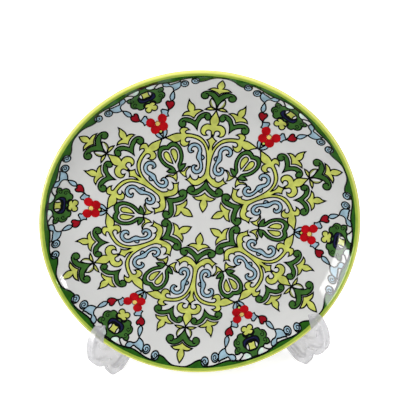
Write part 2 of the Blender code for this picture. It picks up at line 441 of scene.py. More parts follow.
def mirror_point(point):
    """The point's mirror image across the main axis."""
    return Vector((-point.x, point.y))


def whole(half):
    """Close a half outline that starts and ends on the main axis with its mirror image."""
    return half + [mirror_point(point) for point in reversed(half[1:-1])]


def around(x, y, reach, angle):
    """Point at a distance from a centre, its angle clockwise from up."""
    return Vector((x + reach * math.sin(angle), y + reach * math.cos(angle)))


def circle(x, y, radius, steps=16):
    """Round outline, or a small hexagon when it has six steps."""
    return [around(x, y, radius, 2.0 * math.pi * index / steps) for index in range(steps)]


def spiral(x, y, radius, start, turns):
    """Open line that winds in from a radius; start is clockwise from up, in degrees."""
    steps = round(abs(turns) * SPIRAL_STEPS_A_TURN)
    points = []
    for index in range(steps + 1):
        share = index / steps
        angle = math.radians(start) + 2.0 * math.pi * turns * share
        points.append(around(x, y, radius * (1.0 - SPIRAL_SHRINK * share), angle))
    return points


def ribbon_sides(curve, half_widths, closed):
    """Left and right edges of a ribbon along a curve, with corners drawn out to a point."""
    count = len(curve)
    left = []
    right = []
    for index, point in enumerate(curve):
        before = curve[index - 1] if closed or index else point
        after = curve[(index + 1) % count] if closed or index < count - 1 else point
        into = (point - before).normalized() if before != point else (after - point).normalized()
        out = (after - point).normalized() if after != point else into
        middle = into + out
        middle = middle.normalized() if middle.length > DOUBLED_BACK else Vector((-into.y, into.x))
        reach = half_widths[index] / max(NARROWEST_MITRE, abs(middle.dot(into)))
        normal = Vector((-middle.y, middle.x)) * reach
        left.append(point + normal)
        right.append(point - normal)
    return left, right


def band(points, widths):
    """Outline of a band of changing width along a smooth line."""
    curve = smooth_run([Vector((x, y, width)) for (x, y), width in zip(points, widths)])
    centre = [Vector((point.x, point.y)) for point in curve]
    half_widths = [max(THINNEST_HALF_WIDTH, point.z) for point in curve]
    left, right = ribbon_sides(centre, half_widths, closed=False)
    return left + list(reversed(right))


def thin_out(curve):
    """The curve without points that crowd the one before them, or an end that repeats its start."""
    kept = [curve[0]]
    for point in curve[1:]:
        if (point - kept[-1]).length > SHORTEST_STEP:
            kept.append(point)
    if (kept[-1] - kept[0]).length < SHORTEST_STEP:
        kept.pop()
    return kept


def inside(point, polygon):
    """Whether a line from the point crosses the outline an odd number of times."""
    hit = False
    for first, second in zip(polygon, polygon[1:] + polygon[:1]):
        if (first.y > point.y) != (second.y > point.y):
            crossing = first.x + (point.y - first.y) / (second.y - first.y) * (second.x - first.x)
            hit = hit != (point.x < crossing)
    return hit


def inner_grid(polygon):
    """Points inside an outline that let its layer bend over the curved rim."""
    if max(point.length for point in polygon) < CURVED_FROM:
        return []
    xs = [point.x for point in polygon]
    ys = [point.y for point in polygon]
    grid = []
    for column in range(math.floor(min(xs) / FINE_GRID), math.ceil(max(xs) / FINE_GRID) + 1):
        for row in range(math.floor(min(ys) / FINE_GRID), math.ceil(max(ys) / FINE_GRID) + 1):
            point = Vector((column * FINE_GRID + GRID_OFFSET[0], row * FINE_GRID + GRID_OFFSET[1]))
            nearest = min((point - other).length for other in polygon)
            if nearest > GRID_MARGIN and inside(point, polygon):
                grid.append(point)
    return grid


class Paint:
    """Collects flat patches of each colour, as points and faces in ornament places."""

    def __init__(self):
        self.patches = {colour: [] for colour in LEVELS}

    def add_fill(self, colour, polygon, copies):
        """A filled shape: triangles between its outline and the points inside it."""
        polygon = thin_out(polygon)
        count = len(polygon)
        edges = [(index, (index + 1) % count) for index in range(count)]
        result = delaunay_2d_cdt(polygon + inner_grid(polygon), edges, [], TRIANGLES_INSIDE, MERGE_DISTANCE)
        points = [Vector(point) for point in result[0]]
        faces = []
        for face in result[2]:
            centre = sum((points[corner] for corner in face), Vector((0.0, 0.0))) / len(face)
            if inside(centre, polygon):
                faces.append(tuple(face))
        self.patches[colour].append((points, faces, copies))

    def add_line(self, curve, copies, closed=False, half_width=LINE_HALF_WIDTH):
        """A dark line of even width along a curve."""
        curve = thin_out(curve)
        count = len(curve)
        left, right = ribbon_sides(curve, [half_width] * count, closed)
        faces = []
        for index in range(count if closed else count - 1):
            after = (index + 1) % count
            faces.append((index, after, count + after, count + index))
        self.patches["line"].append((left + right, faces, copies))

    def add(self, colour, outline, copies, lined=True):
        """A filled shape with its dark outline."""
        self.add_fill(colour, outline, copies)
        if lined:
            self.add_line(outline, copies, closed=True)


def repeats(half_step, mirror_states):
    """Turn of each copy of a motif, and whether that copy is mirrored."""
    return [(HALF_SECTOR * (2 * index + half_step), mirrored)
            for index in range(SECTORS) for mirrored in mirror_states]


# Where motifs repeat: on the main axes or between them, alone or with their mirror images.
ON_AXIS = repeats(0, (False,))
AXIS_SIDES = repeats(0, (False, True))
BETWEEN = repeats(1, (False,))
BETWEEN_SIDES = repeats(1, (False, True))


def place_in_plate(point):
    """Where an ornament point lies on this plate, in millimetres in the plate's own axes."""
    share = point.length / 100.0
    turned = turn_point(point, math.radians(ORNAMENT_TURN + ORNAMENT_TWIST * share))
    shift_x = SHIFT_RIGHT - SHIFT_RIGHT_LOSS * share ** 2
    shift_y = SHIFT_DOWN - SHIFT_DOWN_LOSS * share
    return turned.x * UNIT + shift_x * PLATE_RADIUS, turned.y * UNIT - shift_y * PLATE_RADIUS


def lay_points(builder, normals, points, angle, mirrored, level):
    """Top and underside points of one copy of a patch, on the curved face."""
    tops = []
    bottoms = []
    for point in points:
        moved = turn_point(mirror_point(point) if mirrored else point, angle)
        x, y = place_in_plate(moved)
        top, normal = surface_point(x, y, level)
        bottom, normal = surface_point(x, y, UNDERSIDE)
        tops.append(builder.verts.new(top * MM))
        bottoms.append(builder.verts.new(bottom * MM))
        normals += [normal, normal]
    return tops, bottoms


def signed_area(corners):
    """Twice the area inside the corners, below zero where they run clockwise."""
    return sum(a.x * b.y - b.x * a.y for a, b in zip(corners, corners[1:] + corners[:1]))


def lay_faces(builder, points, faces, mirrored, tops, bottoms):
    """Top, underside and outer walls of one copy of a patch."""
    edges = {}
    for face in faces:
        corners = list(face)
        clockwise = signed_area([points[corner] for corner in corners]) < 0.0
        if clockwise != mirrored:
            corners.reverse()
        builder.faces.new([tops[corner] for corner in corners])
        builder.faces.new([bottoms[corner] for corner in reversed(corners)])
        edges.update(dict.fromkeys(zip(corners, corners[1:] + corners[:1])))
    for a, b in edges:
        if (b, a) not in edges:
            builder.faces.new((tops[b], tops[a], bottoms[a], bottoms[b]))


def make_paint_piece(name, patches, level, material):
    """One closed thin layer for every patch of a colour, following the glazed face."""
    builder = bmesh.new()
    normals = []
    for points, faces, copies in patches:
        for angle, mirrored in copies:
            tops, bottoms = lay_points(builder, normals, points, angle, mirrored, level)
            lay_faces(builder, points, faces, mirrored, tops, bottoms)
    finish_piece(name, builder, material, normals)


# ---- the ornament

def draw_lyre(paint):
    """Yellow stem with two arms that end in side lilies, a crown leaf and a leafy foot."""
    half = trace(
        [(0.0, 57.4), (0.6, 56.0), (1.5, 54.8), (3.0, 53.9)],
        [(1.8, 52.4), (1.1, 50.4), (1.2, 48.0)],
        [(2.3, 50.4), (4.2, 53.0), (7.2, 55.3), (11.0, 56.3), (16.2, 56.5)],
        [(17.0, 57.4), (16.2, 58.4), (14.7, 59.0)],
        [(16.6, 60.1), (19.0, 59.9), (20.5, 58.3), (19.8, 56.1)],
        [(22.6, 55.7), (25.2, 54.4), (28.8, 52.1)],
        [(25.8, 51.3), (23.2, 50.2), (21.2, 50.4), (19.4, 51.6)],
        [(18.9, 49.5), (17.2, 48.2), (14.9, 48.8), (13.5, 51.9)],
        [(15.4, 51.2), (16.4, 52.4), (15.7, 53.9), (13.0, 54.3), (9.3, 53.7), (6.0, 52.0),
         (3.3, 48.6), (2.1, 45.0), (1.4, 40.0), (1.3, 35.0), (1.9, 31.6), (3.6, 29.6)],
        [(4.6, 29.4), (5.3, 30.3)],
        [(5.6, 28.4), (7.3, 27.5), (9.0, 28.2), (10.5, 30.4)],
        [(10.9, 28.6), (12.8, 27.2)],
        [(10.6, 26.0), (9.0, 24.6), (7.2, 23.9), (5.0, 24.3), (2.3, 26.2), (0.0, 28.7)],
    )
    paint.add("yellow", whole(half), ON_AXIS)


def draw_lily(paint):
    """Yellow lily above the crown leaf, its two side petals rolled under."""
    half = trace(
        [(0.0, 73.2), (1.2, 70.6), (2.5, 68.2), (2.9, 66.0), (2.2, 64.0)],
        [(4.6, 63.9), (6.9, 62.3), (7.7, 59.6), (7.0, 57.6), (5.6, 56.7), (3.2, 57.0)],
        [(4.5, 58.2), (4.0, 59.8), (2.5, 60.3), (1.2, 59.6), (0.9, 58.2), (0.5, 56.6), (0.0, 56.0)],
    )
    paint.add("yellow", whole(half), ON_AXIS)


def draw_cross(paint):
    """Four small leaves crossing above the lily."""
    lower_edge = [(4.9, 78.4), (4.3, 76.0), (2.6, 74.5), (0.2, 73.9)]
    upper = trace([(0.2, 73.9), (0.7, 76.4), (2.3, 79.0), (4.1, 80.6)], lower_edge)
    fold = trace([(0.2, 73.9), (2.6, 75.8), (3.7, 78.0), (4.1, 80.6)], lower_edge)
    side = trace([(0.2, 73.7), (2.8, 74.8), (5.0, 74.4), (6.9, 73.0)], [(4.0, 72.9), (0.2, 73.7)])
    paint.add("white", upper, AXIS_SIDES)
    paint.add_fill("olive", fold, AXIS_SIDES)
    paint.add("yellow", side, AXIS_SIDES)


def small_lily_half(tip, base, wide, reach):
    """Half of a small three-pointed lily on the main axis, from its tip down to its base."""
    length = base - tip
    return trace(
        [(0.0, tip), (wide * 0.72, tip + 0.21 * length), (wide, tip + 0.40 * length),
         (wide * 0.68, tip + 0.60 * length)],
        [(reach * 0.62, tip + 0.60 * length), (reach, tip + 0.74 * length)],
        [(reach * 0.5, tip + 0.80 * length), (wide * 0.45, tip + 0.91 * length), (0.0, base)],
    )


def draw_axis_lilies(paint):
    """Small lilies that point outward near the rim and inward in the middle."""
    paint.add("yellow", whole(small_lily_half(94.6, 83.6, 2.3, 7.0)), ON_AXIS)
    paint.add("yellow", whole(small_lily_half(7.0, 19.8, 2.4, 7.0)), ON_AXIS)


def draw_outer_bracket(paint):
    """Green bracket with a ball at each end, under the outer lily."""
    half = trace(
        [(0.0, 82.2), (2.6, 84.4), (6.2, 85.3), (9.2, 84.6), (10.9, 82.4), (10.2, 80.3), (8.2, 79.6),
         (6.5, 80.5), (6.3, 82.2)],
        [(5.0, 82.0), (3.2, 80.6), (1.6, 78.2), (0.0, 75.6)],
    )
    paint.add("green", whole(half), ON_AXIS)
    paint.add_line(trace([(6.3, 82.2), (7.0, 83.4), (8.4, 83.2)]), AXIS_SIDES)


def draw_side_bracket(paint):
    """Green bracket with two balls, beside the lily."""
    outline = trace(
        [(6.3, 67.9), (5.7, 66.8), (4.3, 66.3), (3.0, 67.3), (2.8, 69.2), (4.2, 70.9), (6.2, 71.1),
         (8.6, 70.1), (10.4, 68.4), (11.3, 66.4), (12.1, 65.0)],
        [(15.0, 66.1), (18.0, 66.3), (20.4, 65.4), (21.8, 63.5), (21.8, 61.5), (20.3, 60.1), (18.4, 60.3),
         (17.3, 61.9), (17.7, 63.6)],
        [(15.2, 63.4), (12.6, 62.2), (9.9, 59.5)],
        [(9.9, 62.4), (9.2, 65.2), (7.9, 67.2), (6.3, 67.9)],
    )
    paint.add("green", outline, AXIS_SIDES)
    paint.add_line(trace([(6.3, 67.9), (6.6, 69.2), (5.4, 69.9)]), AXIS_SIDES)
    paint.add_line(trace([(17.7, 63.6), (18.9, 64.2), (19.8, 63.3)]), AXIS_SIDES)


def draw_side_lily(paint):
    """Small yellow lily over the side bracket."""
    outline = trace(
        [(13.0, 66.7), (12.0, 68.9), (10.4, 70.6), (8.2, 71.9)],
        [(10.0, 72.5), (11.8, 72.3), (13.4, 71.7)],
        [(13.4, 73.4), (14.6, 75.2), (16.2, 76.1), (17.6, 78.0)],
        [(17.9, 75.2), (17.8, 72.6), (16.6, 70.6)],
        [(18.4, 70.0), (19.6, 68.9), (20.3, 67.2)],
        [(17.7, 67.8), (15.2, 67.6), (13.0, 66.7)],
    )
    paint.add("yellow", outline, AXIS_SIDES)


def draw_scroll(paint):
    """Pale blue S-scroll beside the stem, rolled in at both ends, with a bud on its side."""
    points = [(10.2, 45.8), (12.2, 45.5), (12.9, 47.4), (11.7, 49.4), (9.5, 50.0), (7.3, 48.9), (6.3, 46.6),
              (6.5, 44.2), (6.3, 42.2), (5.3, 40.0), (4.4, 37.6), (4.4, 35.0), (5.5, 33.2), (7.3, 32.8),
              (9.0, 34.2), (9.1, 36.0), (7.0, 36.7)]
    widths = [0.3, 0.9, 1.15, 1.15, 1.1, 1.1, 1.1, 1.3, 1.6, 1.0, 0.9, 1.1, 1.2, 1.2, 1.1, 0.9, 0.25]
    paint.add("blue", band(points, widths), AXIS_SIDES)
    bud = trace([(5.1, 44.1), (3.9, 43.6), (3.0, 42.4)], [(3.8, 41.2), (5.0, 40.9)])
    paint.add_fill("blue", bud, AXIS_SIDES)
    paint.add_line(bud, AXIS_SIDES)


def draw_heart(paint):
    """Green heart-shaped ring between the lyres, with two petals inside and leaves at its foot.

    It is drawn on its own axis, its point towards the plate's middle.
    """
    outer = trace(
        [(0.0, 54.4), (-1.4, 55.1), (-3.5, 55.5), (-5.4, 54.7), (-6.7, 53.0), (-7.6, 50.6), (-7.6, 47.6),
         (-6.9, 44.6), (-5.6, 42.2), (-4.2, 40.6), (-3.2, 39.6)],
        [(-4.8, 39.9), (-6.4, 39.3)],
        [(-5.2, 37.9), (-3.2, 36.8), (-0.8, 36.5), (0.0, 36.6)],
    )
    paint.add("green", whole(outer), BETWEEN)
    inner = trace(
        [(0.0, 51.8), (-1.5, 52.5), (-3.4, 52.7), (-4.9, 51.5), (-5.7, 49.4), (-5.6, 47.3), (-4.9, 45.0),
         (-3.6, 42.8), (-2.1, 41.2), (-1.3, 39.8), (-1.1, 38.2), (-0.9, 36.7)],
        [(0.0, 36.7)],
    )
    paint.add("white", whole(inner), BETWEEN)
    petal = trace([(-0.9, 42.6), (-2.8, 44.4), (-4.0, 46.7), (-4.2, 49.1), (-3.2, 51.0), (-1.7, 51.1),
                   (-0.8, 49.9), (-0.7, 47.6), (-0.7, 45.3), (-0.9, 42.6)])
    paint.add("yellow", petal, BETWEEN_SIDES)
    leaf = trace(
        [(-0.8, 36.6), (-2.7, 35.7), (-3.9, 35.5)],
        [(-5.1, 36.4), (-6.8, 37.0), (-8.9, 36.4)],
        [(-6.2, 35.8), (-4.4, 34.2), (-3.5, 31.3)],
        [(-2.2, 32.8), (-1.4, 34.8), (-0.8, 36.6)],
    )
    paint.add("yellow", leaf, BETWEEN_SIDES)


def draw_star_ring(paint):
    """Green scalloped ring round the plate's middle, its balls touching in pairs."""
    half = trace(
        [(0.0, 28.0), (1.5, 25.2), (3.6, 22.8), (6.5, 21.0)],
        [(6.9, 22.6), (8.6, 23.5), (10.4, 22.7), (11.3, 21.0), (11.3, 19.7), (9.5, 18.2), (7.4, 17.6),
         (4.9, 18.2), (2.4, 20.0), (0.0, 22.2)],
    )
    paint.add("green", whole(half), ON_AXIS)
    paint.add_line(trace([(6.5, 21.0), (7.0, 19.9), (8.4, 20.1)]), AXIS_SIDES)


def draw_tie_leaves(paint):
    """Pale blue leaves that cross where two lyre arms meet."""
    leaf = trace([(0.0, 59.6), (-2.2, 60.8), (-3.5, 62.6), (-3.8, 64.6)],
                 [(-2.3, 64.6), (-0.9, 62.6), (0.0, 59.6)])
    paint.add("blue", leaf, BETWEEN_SIDES)
    paint.add("yellow", whole(trace([(0.0, 65.6), (-1.2, 64.4), (0.0, 62.9)])), BETWEEN)


def draw_berries(paint):
    """Cluster of four red berries round a small cream hexagon, between the lyres."""
    for x, y, radius in ((-2.8, 66.7, 2.9), (-3.9, 71.6, 2.9)):
        paint.add("red", circle(x, y, radius), BETWEEN_SIDES, lined=False)
    paint.add("cream", circle(0.0, 69.6, 1.5, 6), BETWEEN)


def draw_bead_chain(paint):
    """Bead, dark red heart and thin leaf strung from a berry to the rim."""
    bead = trace([(28.8, 66.0), (29.5, 67.8), (29.2, 69.3)], [(31.4, 69.5), (33.2, 69.6)],
                 [(33.9, 68.4), (33.2, 67.3), (33.7, 65.8)], [(31.0, 65.2), (28.8, 66.0)])
    paint.add("blue", bead, AXIS_SIDES)
    heart = trace([(29.4, 69.7), (26.9, 72.0), (26.3, 74.0), (27.1, 75.5), (28.5, 75.8), (29.5, 74.9)],
                  [(30.6, 75.4), (31.6, 74.3), (31.2, 72.8), (30.2, 71.6), (29.4, 69.7)])
    paint.add("crimson", heart, AXIS_SIDES)
    leaf = trace([(28.3, 75.7), (26.9, 77.6), (27.0, 79.6), (28.2, 82.7)],
                 [(29.5, 79.9), (29.7, 77.8), (28.3, 75.7)])
    paint.add("blue", leaf, AXIS_SIDES)


def draw_rim_leaf(paint):
    """Pale blue leaf that hangs from the rim band, with a pale sprig, two curls and a tendril beside it."""
    leaf = trace(
        [(28.2, 83.0), (26.2, 84.3), (24.9, 85.9), (24.5, 87.7), (25.3, 90.6)],
        [(26.8, 89.4), (28.9, 88.3), (31.0, 87.2), (32.3, 88.2), (33.9, 88.6), (35.4, 88.1), (35.9, 86.9)],
        [(35.0, 85.7), (33.2, 85.4), (31.2, 85.9), (29.4, 85.3), (28.2, 83.0)],
    )
    paint.add("blue", leaf, AXIS_SIDES)
    sprig = trace([(27.2, 90.6), (29.0, 89.2), (30.9, 88.4)], [(31.6, 89.2), (31.1, 90.1), (29.6, 90.3)],
                  [(27.2, 90.6)])
    paint.add("mint", sprig, AXIS_SIDES, lined=False)
    for x, y, radius in ((22.4, 89.0, 2.4), (16.2, 92.1, 2.4)):
        paint.add("blue", circle(x, y, radius), AXIS_SIDES)
        paint.add_line(spiral(x, y, 0.72 * radius, 90.0, -1.25), AXIS_SIDES, half_width=THIN_HALF_WIDTH)
    tendril = trace([(36.2, 88.3), (38.5, 86.9), (40.4, 83.9)])
    paint.add_line(tendril, AXIS_SIDES, half_width=TENDRIL_HALF_WIDTH)


def draw_medallion(paint):
    """Green medallion that hangs from the rim between the bead chains, with a yellow flower below."""
    body = trace(
        [(0.0, 96.6), (-3.0, 96.2)],
        [(-2.2, 95.7), (-2.2, 94.4), (-3.4, 93.1), (-5.3, 92.3), (-6.9, 92.5)],
        [(-8.1, 91.4), (-9.6, 91.7), (-11.9, 91.3)],
        [(-11.6, 89.4), (-10.3, 88.3)],
        [(-11.2, 86.5), (-10.6, 84.6), (-9.1, 83.6), (-7.9, 83.4)],
        [(-7.4, 82.1), (-5.7, 81.5), (-3.8, 82.0), (-2.6, 83.5), (0.0, 83.6)],
    )
    paint.add("green", whole(body), BETWEEN)
    opening = trace([(0.0, 92.3), (-2.8, 92.0), (-4.0, 90.6), (-3.8, 88.4), (-2.4, 87.2), (0.0, 87.0)])
    paint.add("white", whole(opening), BETWEEN)
    lantern = trace([(0.0, 92.2), (-2.5, 92.1)], [(-2.1, 90.0), (-2.5, 88.0)], [(0.0, 87.4)])
    paint.add("yellow", whole(lantern), BETWEEN)
    crescent = trace([(0.0, 88.2), (-2.2, 88.0), (-3.5, 88.8), (-4.2, 90.6)],
                     [(-5.4, 88.8), (-5.1, 86.6), (-2.9, 85.4), (0.0, 85.4)])
    paint.add("navy", whole(crescent), BETWEEN)
    flower = trace([(0.0, 83.4), (1.4, 84.4), (3.1, 84.2), (3.9, 82.9), (3.5, 81.8), (2.4, 81.3)],
                   [(3.6, 80.8), (3.8, 79.4), (2.9, 78.0), (1.2, 77.9), (0.0, 79.0)])
    paint.add("yellow", whole(flower), BETWEEN)
    paint.add_line(spiral(-8.9, 89.4, 1.5, 0.0, -1.2), BETWEEN_SIDES, half_width=FINE_HALF_WIDTH)
    paint.add_line(spiral(-8.2, 85.9, 1.6, 180.0, 1.2), BETWEEN_SIDES, half_width=FINE_HALF_WIDTH)
    gap = trace([(-5.7, 95.4), (-6.4, 93.3)], [(-5.3, 92.4), (-3.4, 93.1), (-2.3, 94.4), (-2.3, 95.7)],
                [(-5.7, 95.4)])
    paint.add("mint", gap, BETWEEN_SIDES, lined=False)


def band_edge_distance(half, from_axis):
    """Distance of the band's edge from the middle, read off its smoothed half at an angle."""
    after = next(place for place, point in enumerate(half) if point.x >= from_axis - TINY)
    before = max(0, after - 1)
    gap = half[after].x - half[before].x
    share = (from_axis - half[before].x) / gap if gap else 0.0
    return half[before].y + (half[after].y - half[before].y) * share


def band_edge_loop():
    """The rim band's inner edge all round, in ornament places."""
    half = smooth_run([Vector(pair) for pair in BAND_EDGE])
    sector = 360.0 / SECTORS
    loop = []
    for index in range(BAND_STEPS):
        angle = 360.0 * index / BAND_STEPS
        from_axis = min(angle % sector, sector - angle % sector)
        distance = band_edge_distance(half, from_axis)
        loop.append(turn_point(Vector((0.0, distance)), math.radians(angle)))
    return loop


def band_row(builder, normals, point):
    """Points across the rim band: outward along its top, then inward along its underside."""
    x, y = place_in_plate(point)
    inner = math.hypot(x, y)
    outward = spread(inner, BAND_OUTER_RADIUS, BAND_STEPS_ACROSS)
    row = []
    for radii, level in ((outward, LEVELS["green"]), (outward[::-1], UNDERSIDE)):
        for radius in radii:
            place, normal = surface_point(x / inner * radius, y / inner * radius, level)
            row.append(builder.verts.new(place * MM))
            normals.append(normal)
    return row


def make_rim_band(paint, material):
    """Dark green band inside the lip, thickened into leaves where the curls grow from it."""
    loop = band_edge_loop()
    paint.add_line(loop, [(0.0, False)], closed=True)
    builder = bmesh.new()
    normals = []
    rows = [band_row(builder, normals, point) for point in loop]
    for row, following in zip(rows, rows[1:] + rows[:1]):
        for index in range(len(row)):
            after = (index + 1) % len(row)
            builder.faces.new((row[index], row[after], following[after], following[index]))
    bmesh.ops.recalc_face_normals(builder, faces=builder.faces)
    finish_piece("rim_band", builder, material, normals)


# ---- materials

def new_material(name):
    """A node material, with its node tree and its shader."""
    material = bpy.data.materials.new(name)
    material.use_nodes = True
    tree = material.node_tree
    return material, tree, tree.nodes["Principled BSDF"]


def set_inputs(node, values):
    """Fixed values of a node's inputs."""
    for name, value in values.items():
        node.inputs[name].default_value = value


def noise(tree, scale, detail, stretch=(1.0, 1.0, 1.0)):
    """Value of a noise in the object's own space, in metres."""
    place = tree.nodes.new("ShaderNodeTexCoord")
    mapping = tree.nodes.new("ShaderNodeMapping")
    set_inputs(mapping, {"Scale": stretch})
    node = tree.nodes.new("ShaderNodeTexNoise")
    set_inputs(node, {"Scale": scale, "Detail": detail})
    tree.links.new(place.outputs["Object"], mapping.inputs["Vector"])
    tree.links.new(mapping.outputs["Vector"], node.inputs["Vector"])
    return node.outputs["Fac"]


def colour_ramp(tree, value, low, high, dark, light):
    """Colour that goes from dark to light as a value goes from low to high."""
    node = tree.nodes.new("ShaderNodeValToRGB")
    for element, position, colour in zip(node.color_ramp.elements, (low, high), (dark, light)):
        element.position = position
        element.color = (*colour, 1.0)
    tree.links.new(value, node.inputs["Fac"])
    return node.outputs["Color"]


def blend(tree, share, first, second, way="MIX"):
    """Mix of two colours; each value is another node's output or is plain."""
    node = tree.nodes.new("ShaderNodeMix")
    node.data_type = "RGBA"
    node.blend_type = way
    for name, value in (("Factor", share), ("A", first), ("B", second)):
        if isinstance(value, bpy.types.NodeSocket):
            tree.links.new(value, node.inputs[name])
        else:
            node.inputs[name].default_value = value
    return node.outputs["Result"]


def map_range(tree, value, low, high, new_low=0.0, new_high=1.0, interpolation="LINEAR"):
    """A value carried from one range to another."""
    node = tree.nodes.new("ShaderNodeMapRange")
    node.interpolation_type = interpolation
    set_inputs(node, {"From Min": low, "From Max": high, "To Min": new_low, "To Max": new_high})
    tree.links.new(value, node.inputs["Value"])
    return node.outputs["Result"]


def add_bump(tree, shader, value, height, strength):
    """Small relief, its height in metres."""
    bump = tree.nodes.new("ShaderNodeBump")
    set_inputs(bump, {"Strength": strength, "Distance": height})
    tree.links.new(value, bump.inputs["Height"])
    tree.links.new(bump.outputs["Normal"], shader.inputs["Normal"])


def add_glaze(tree, shader):
    """A hard clear glaze, softly rippled, over whatever colour lies below."""
    set_inputs(shader, {"Roughness": 0.35, "IOR": GLAZE_IOR, "Specular IOR Level": 0.0, "Coat Weight": 1.0,
                        "Coat Roughness": GLAZE_ROUGHNESS, "Coat IOR": GLAZE_IOR})
    ripple = noise(tree, RIPPLE_SCALE, 2.0)
    add_bump(tree, shader, ripple, RIPPLE_HEIGHT, RIPPLE_STRENGTH)


def scaled(colour, factor):
    """The colour made lighter or darker without changing its hue."""
    return tuple(min(1.0, part * factor) for part in colour)


def pooled_colour(tree, colour, uneven):
    """Colour laid on by hand: it pools darker and thins lighter along the strokes."""
    pools = noise(tree, 160.0, 5.0)
    return colour_ramp(tree, pools, 0.30, 0.72, scaled(colour, 1.0 - uneven), scaled(colour, 1.0 + uneven))


def glazed_paint(name, colour, uneven=UNEVEN_PAINT):
    """Hand laid colour under the glaze."""
    material, tree, shader = new_material(name)
    tree.links.new(pooled_colour(tree, colour, uneven), shader.inputs["Base Color"])
    add_glaze(tree, shader)
    return material


def distance_from_axis(tree):
    """Distance from the plate's own axis, in metres, for a piece whose mesh is in the world's axes."""
    place = tree.nodes.new("ShaderNodeTexCoord")
    in_plate = tree.nodes.new("ShaderNodeMapping")
    in_plate.vector_type = "TEXTURE"
    set_inputs(in_plate, {"Location": PLATE_PLACE, "Rotation": (TILT, 0.0, 0.0)})
    flatten = tree.nodes.new("ShaderNodeVectorMath")
    flatten.operation = "MULTIPLY"
    flatten.inputs[1].default_value = (1.0, 1.0, 0.0)
    length = tree.nodes.new("ShaderNodeVectorMath")
    length.operation = "LENGTH"
    tree.links.new(place.outputs["Object"], in_plate.inputs["Vector"])
    tree.links.new(in_plate.outputs["Vector"], flatten.inputs[0])
    tree.links.new(flatten.outputs["Vector"], length.inputs[0])
    return length.outputs["Value"]


def lip_paint(name, inner, outer):
    """Olive on the inside of the lip, going to a pale yellow painted highlight over its crown."""
    material, tree, shader = new_material(name)
    # A pale yellow painted highlight over the lip's crown, set by distance from the plate's axis.
    highlight_share = map_range(tree, distance_from_axis(tree), LIP_HIGHLIGHT_FROM * MM, LIP_HIGHLIGHT_TO * MM,
                     interpolation="SMOOTHSTEP")
    colour = blend(tree, highlight_share, pooled_colour(tree, inner, UNEVEN_LIP), (*outer, 1.0))
    tree.links.new(colour, shader.inputs["Base Color"])
    add_glaze(tree, shader)
    return material


def white_glaze(name, colour):
    """Grey-white glaze with faint clouding and pin-sized specks."""
    material, tree, shader = new_material(name)
    clouds = colour_ramp(tree, noise(tree, 14.0, 3.0), 0.3, 0.7, scaled(colour, 1.0 - UNEVEN_WHITE), colour)
    specks = colour_ramp(tree, noise(tree, 700.0, 2.0), 0.17, 0.23, COLOURS["speck"], WHITE)
    tree.links.new(blend(tree, SPECK_STRENGTH, clouds, specks, "MULTIPLY"), shader.inputs["Base Color"])
    add_glaze(tree, shader)
    return material


def biscuit(name):
    """Bare fired clay: matt, cream and slightly gritty."""
    material, tree, shader = new_material(name)
    grit = noise(tree, 900.0, 6.0)
    colour = colour_ramp(tree, grit, 0.25, 0.75, COLOURS["clay_dark"], COLOURS["clay_light"])
    tree.links.new(colour, shader.inputs["Base Color"])
    set_inputs(shader, {"Roughness": 0.85})
    add_bump(tree, shader, grit, 0.0001, 0.6)
    return material


def clear_plastic(name):
    """Milky, partly see-through moulding with faint flow lines and handling marks; a painted highlight makes
    it paler where its faces turn edge-on to the view.
    """
    material, tree, shader = new_material(name)
    set_inputs(shader, {"Alpha": PLASTIC_ALPHA, "Coat Weight": 1.0, "Coat Roughness": PLASTIC_COAT_ROUGHNESS})
    flow = noise(tree, 25.0, 2.0, (1.0, 1.0, 0.25))
    tint = colour_ramp(tree, flow, 0.3, 0.7, COLOURS["plastic_dark"], COLOURS["plastic_light"])
    # Painted highlight: a lighter colour where the faces turn edge-on to the view.
    edge = tree.nodes.new("ShaderNodeLayerWeight")
    set_inputs(edge, {"Blend": PLASTIC_HIGHLIGHT_BLEND})
    colour = blend(tree, edge.outputs["Facing"], tint, (*COLOURS["plastic_edge_highlight"], 1.0))
    tree.links.new(colour, shader.inputs["Base Color"])
    marks = map_range(tree, noise(tree, 350.0, 4.0), 0.45, 0.80, 0.22, 0.34)
    tree.links.new(marks, shader.inputs["Roughness"])
    add_bump(tree, shader, flow, 0.0002, 0.1)
    return material


def drawn_steel(name):
    """Satin steel wire, drawn lengthwise."""
    material, tree, shader = new_material(name)
    lines = noise(tree, 1500.0, 3.0, (1.0, 1.0, 0.03))
    colour = colour_ramp(tree, lines, 0.3, 0.7, COLOURS["steel_dark"], COLOURS["steel_light"])
    tree.links.new(colour, shader.inputs["Base Color"])
    set_inputs(shader, {"Metallic": 1.0, "Roughness": 0.30})
    add_bump(tree, shader, lines, 0.00005, 0.5)
    return material


def studio_floor(name):
    """Matt white paper that glows a little, so that it stays as white as the backdrop."""
    material, tree, shader = new_material(name)
    grain = noise(tree, 30.0, 2.0)
    colour = colour_ramp(tree, grain, 0.3, 0.7, COLOURS["floor_dark"], COLOURS["floor_light"])
    tree.links.new(colour, shader.inputs["Base Color"])
    tree.links.new(colour, shader.inputs["Emission Color"])
    set_inputs(shader, {"Emission Strength": FLOOR_GLOW, "Roughness": 0.9})
    return material


# ---- the whole

MOTIFS = (draw_lyre, draw_lily, draw_cross, draw_axis_lilies, draw_outer_bracket, draw_side_bracket,
          draw_side_lily, draw_scroll, draw_heart, draw_star_ring, draw_tie_leaves, draw_berries,
          draw_bead_chain, draw_rim_leaf, draw_medallion)


